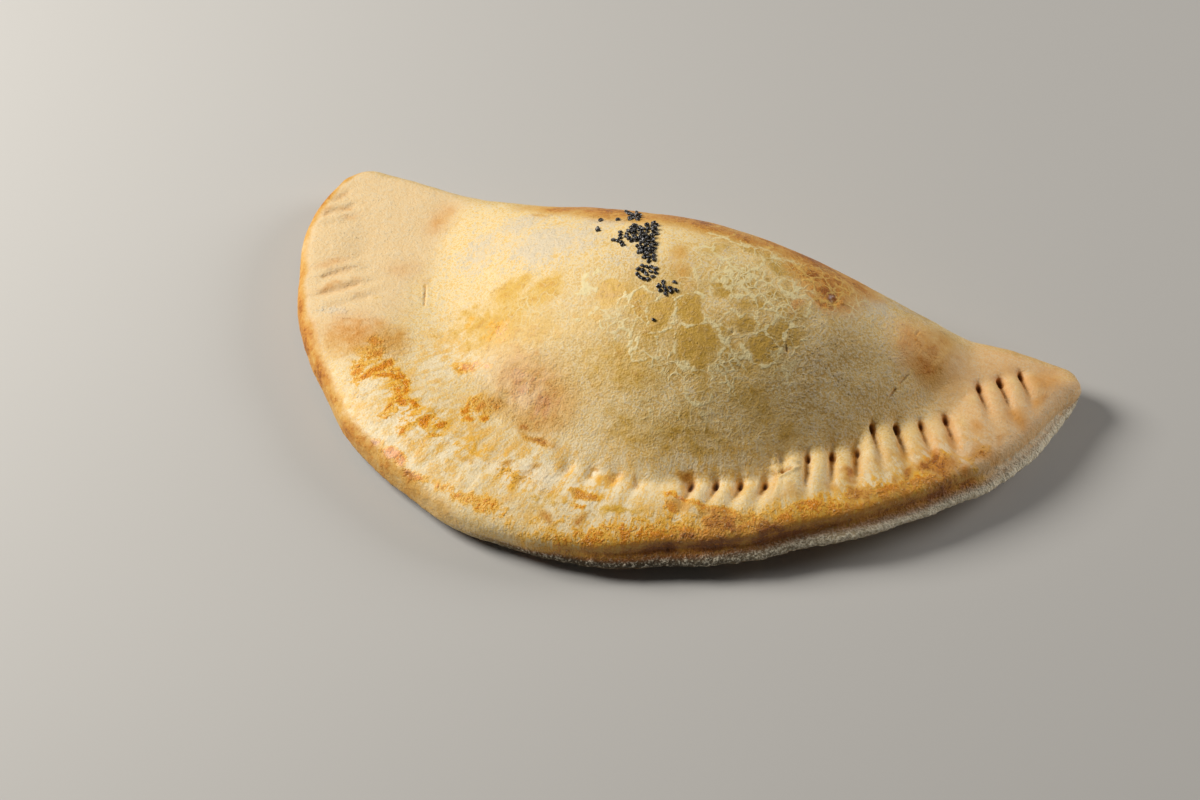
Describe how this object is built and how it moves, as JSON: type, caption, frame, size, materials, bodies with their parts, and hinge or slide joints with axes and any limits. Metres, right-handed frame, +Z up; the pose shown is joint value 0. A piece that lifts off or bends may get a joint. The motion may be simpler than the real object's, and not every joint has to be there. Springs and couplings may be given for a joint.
{
  "type": "beef empanada",
  "caption": "Half-moon baked empanada with a domed filled crust, a straight fold at the back and a fork-crimped curved rim.",
  "frame": {"origin": "middle of the base of the bounding box, on the surface that the empanada rests on", "axes": "+X along the fold towards the pointed tip, +Y towards the fold at the back, +Z up; the crimped rim faces -Y"},
  "size_m": [0.16, 0.0804, 0.0318],
  "materials": {
    "crust": "baked dough, matte with a patchy egg-wash gloss",
    "poppy_seed": "small hard seeds, half gloss"
  },
  "bodies": {
    "root": {"empanada": "crust"}
  },
  "joints": []
}
